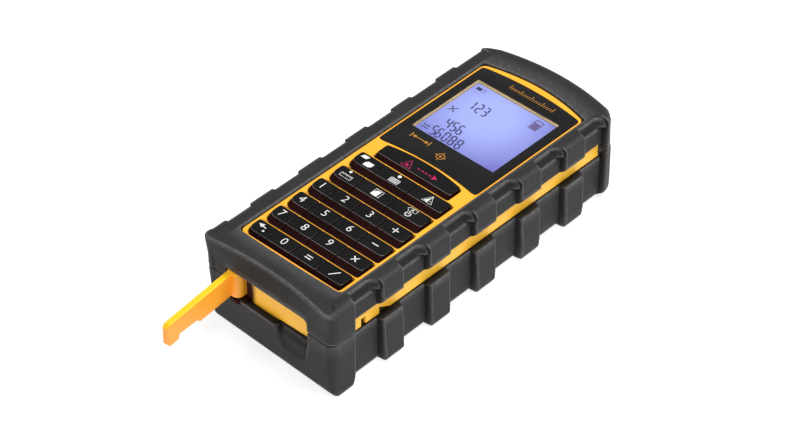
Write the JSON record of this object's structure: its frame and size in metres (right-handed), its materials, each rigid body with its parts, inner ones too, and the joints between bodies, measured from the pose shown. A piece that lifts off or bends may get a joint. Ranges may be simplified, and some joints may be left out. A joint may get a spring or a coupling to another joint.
{
  "type": "laser distance meter",
  "caption": "Handheld laser distance meter with calculator keypad, backlit display, ribbed two-part rubber bumper and fold-out end lever.",
  "frame": {"origin": "middle of the back, on the flat face the meter lies on", "axes": "+X to the right seen from the keypad side, +Y along the length towards the display and laser end, +Z out of the keypad face"},
  "size_m": [0.0612, 0.1841, 0.038],
  "materials": {
    "rubber": "matt moulded rubber, finely textured, paler where rubbed",
    "housing": "satin amber-yellow ABS",
    "key_cap": "gloss black top over dark red translucent plastic, white legends",
    "silicone": "matt dark red silicone",
    "display_lens": "polished black-printed acrylic with a clear window",
    "lcd_frame": "satin moulded frame",
    "lcd_panel": "backlit blue-violet liquid crystal glass",
    "backlight": "white diffuser",
    "circuit_board": "green solder mask",
    "black_plastic": "fine spark texture",
    "cell_jacket": "printed steel can",
    "steel": "plated",
    "brass": "turned",
    "optic_glass": "coated lens",
    "window_glass": "red-tinted optical window"
  },
  "bodies": {
    "meter_body": {"upper_bumper": "rubber", "lower_bumper": "rubber", "front_housing": "housing", "rear_housing": "housing", "key_mat": "silicone", "display_lens": "display_lens", "lcd_frame": "lcd_frame", "lcd_panel": "lcd_panel", "lcd_backlight": "backlight", "main_board": "circuit_board", "receiver_board": "circuit_board", "buzzer": "black_plastic", "battery_holder": "black_plastic", "optics_holder": "black_plastic", "battery_cell_left": "cell_jacket", "battery_cell_right": "cell_jacket", "battery_contact": "steel", "battery_spring_left": "steel", "battery_spring_right": "steel", "lever_pin": "steel", "photodiode": "steel", "case_screw_1": "steel", "case_screw_2": "steel", "case_screw_3": "steel", "case_screw_4": "steel", "laser_emitter": "brass", "emitter_lens": "optic_glass", "receiver_lens": "optic_glass", "front_window": "window_glass"},
    "key_back": {"key_back": "key_cap"},
    "key_0": {"key_0": "key_cap"},
    "key_equals": {"key_equals": "key_cap"},
    "key_divide": {"key_divide": "key_cap"},
    "key_7": {"key_7": "key_cap"},
    "key_8": {"key_8": "key_cap"},
    "key_9": {"key_9": "key_cap"},
    "key_times": {"key_times": "key_cap"},
    "key_4": {"key_4": "key_cap"},
    "key_5": {"key_5": "key_cap"},
    "key_6": {"key_6": "key_cap"},
    "key_minus": {"key_minus": "key_cap"},
    "key_1": {"key_1": "key_cap"},
    "key_2": {"key_2": "key_cap"},
    "key_3": {"key_3": "key_cap"},
    "key_plus": {"key_plus": "key_cap"},
    "key_unit": {"key_unit": "key_cap"},
    "key_memory": {"key_memory": "key_cap"},
    "key_clear": {"key_clear": "key_cap"},
    "key_area": {"key_area": "key_cap"},
    "key_history": {"key_history": "key_cap"},
    "key_triangle": {"key_triangle": "key_cap"},
    "key_measure": {"key_measure": "key_cap"},
    "lever": {"end_lever": "housing"},
    "door": {"battery_door": "black_plastic"}
  },
  "joints": [
    {"name": "key_back_press", "type": "slide", "parent": "meter_body", "child": "key_back", "axis": [0, 0, -1], "range_m": [0, 0.0007], "stiffness_N_per_m": 1500},
    {"name": "key_0_press", "type": "slide", "parent": "meter_body", "child": "key_0", "axis": [0, 0, -1], "range_m": [0, 0.0007], "stiffness_N_per_m": 1500},
    {"name": "key_equals_press", "type": "slide", "parent": "meter_body", "child": "key_equals", "axis": [0, 0, -1], "range_m": [0, 0.0007], "stiffness_N_per_m": 1500},
    {"name": "key_divide_press", "type": "slide", "parent": "meter_body", "child": "key_divide", "axis": [0, 0, -1], "range_m": [0, 0.0007], "stiffness_N_per_m": 1500},
    {"name": "key_7_press", "type": "slide", "parent": "meter_body", "child": "key_7", "axis": [0, 0, -1], "range_m": [0, 0.0007], "stiffness_N_per_m": 1500},
    {"name": "key_8_press", "type": "slide", "parent": "meter_body", "child": "key_8", "axis": [0, 0, -1], "range_m": [0, 0.0007], "stiffness_N_per_m": 1500},
    {"name": "key_9_press", "type": "slide", "parent": "meter_body", "child": "key_9", "axis": [0, 0, -1], "range_m": [0, 0.0007], "stiffness_N_per_m": 1500},
    {"name": "key_times_press", "type": "slide", "parent": "meter_body", "child": "key_times", "axis": [0, 0, -1], "range_m": [0, 0.0007], "stiffness_N_per_m": 1500},
    {"name": "key_4_press", "type": "slide", "parent": "meter_body", "child": "key_4", "axis": [0, 0, -1], "range_m": [0, 0.0007], "stiffness_N_per_m": 1500},
    {"name": "key_5_press", "type": "slide", "parent": "meter_body", "child": "key_5", "axis": [0, 0, -1], "range_m": [0, 0.0007], "stiffness_N_per_m": 1500},
    {"name": "key_6_press", "type": "slide", "parent": "meter_body", "child": "key_6", "axis": [0, 0, -1], "range_m": [0, 0.0007], "stiffness_N_per_m": 1500},
    {"name": "key_minus_press", "type": "slide", "parent": "meter_body", "child": "key_minus", "axis": [0, 0, -1], "range_m": [0, 0.0007], "stiffness_N_per_m": 1500},
    {"name": "key_1_press", "type": "slide", "parent": "meter_body", "child": "key_1", "axis": [0, 0, -1], "range_m": [0, 0.0007], "stiffness_N_per_m": 1500},
    {"name": "key_2_press", "type": "slide", "parent": "meter_body", "child": "key_2", "axis": [0, 0, -1], "range_m": [0, 0.0007], "stiffness_N_per_m": 1500},
    {"name": "key_3_press", "type": "slide", "parent": "meter_body", "child": "key_3", "axis": [0, 0, -1], "range_m": [0, 0.0007], "stiffness_N_per_m": 1500},
    {"name": "key_plus_press", "type": "slide", "parent": "meter_body", "child": "key_plus", "axis": [0, 0, -1], "range_m": [0, 0.0007], "stiffness_N_per_m": 1500},
    {"name": "key_unit_press", "type": "slide", "parent": "meter_body", "child": "key_unit", "axis": [0, 0, -1], "range_m": [0, 0.0007], "stiffness_N_per_m": 1500},
    {"name": "key_memory_press", "type": "slide", "parent": "meter_body", "child": "key_memory", "axis": [0, 0, -1], "range_m": [0, 0.0007], "stiffness_N_per_m": 1500},
    {"name": "key_clear_press", "type": "slide", "parent": "meter_body", "child": "key_clear", "axis": [0, 0, -1], "range_m": [0, 0.0007], "stiffness_N_per_m": 1500},
    {"name": "key_area_press", "type": "slide", "parent": "meter_body", "child": "key_area", "axis": [0, 0, -1], "range_m": [0, 0.0007], "stiffness_N_per_m": 1500},
    {"name": "key_history_press", "type": "slide", "parent": "meter_body", "child": "key_history", "axis": [0, 0, -1], "range_m": [0, 0.0007], "stiffness_N_per_m": 1500},
    {"name": "key_triangle_press", "type": "slide", "parent": "meter_body", "child": "key_triangle", "axis": [0, 0, -1], "range_m": [0, 0.0007], "stiffness_N_per_m": 1500},
    {"name": "key_measure_press", "type": "slide", "parent": "meter_body", "child": "key_measure", "axis": [0, 0, -1], "range_m": [0, 0.0007], "stiffness_N_per_m": 1500},
    {"name": "lever_hinge", "type": "hinge", "parent": "meter_body", "child": "lever", "pos_m": [-0.0173, -0.0729, 0.0219], "axis": [0, 0, 1], "range_deg": [-5.5, 84.5]},
    {"name": "door_lift", "type": "slide", "parent": "meter_body", "child": "door", "axis": [0, 0, -1], "range_m": [0, 0.012]}
  ]
}
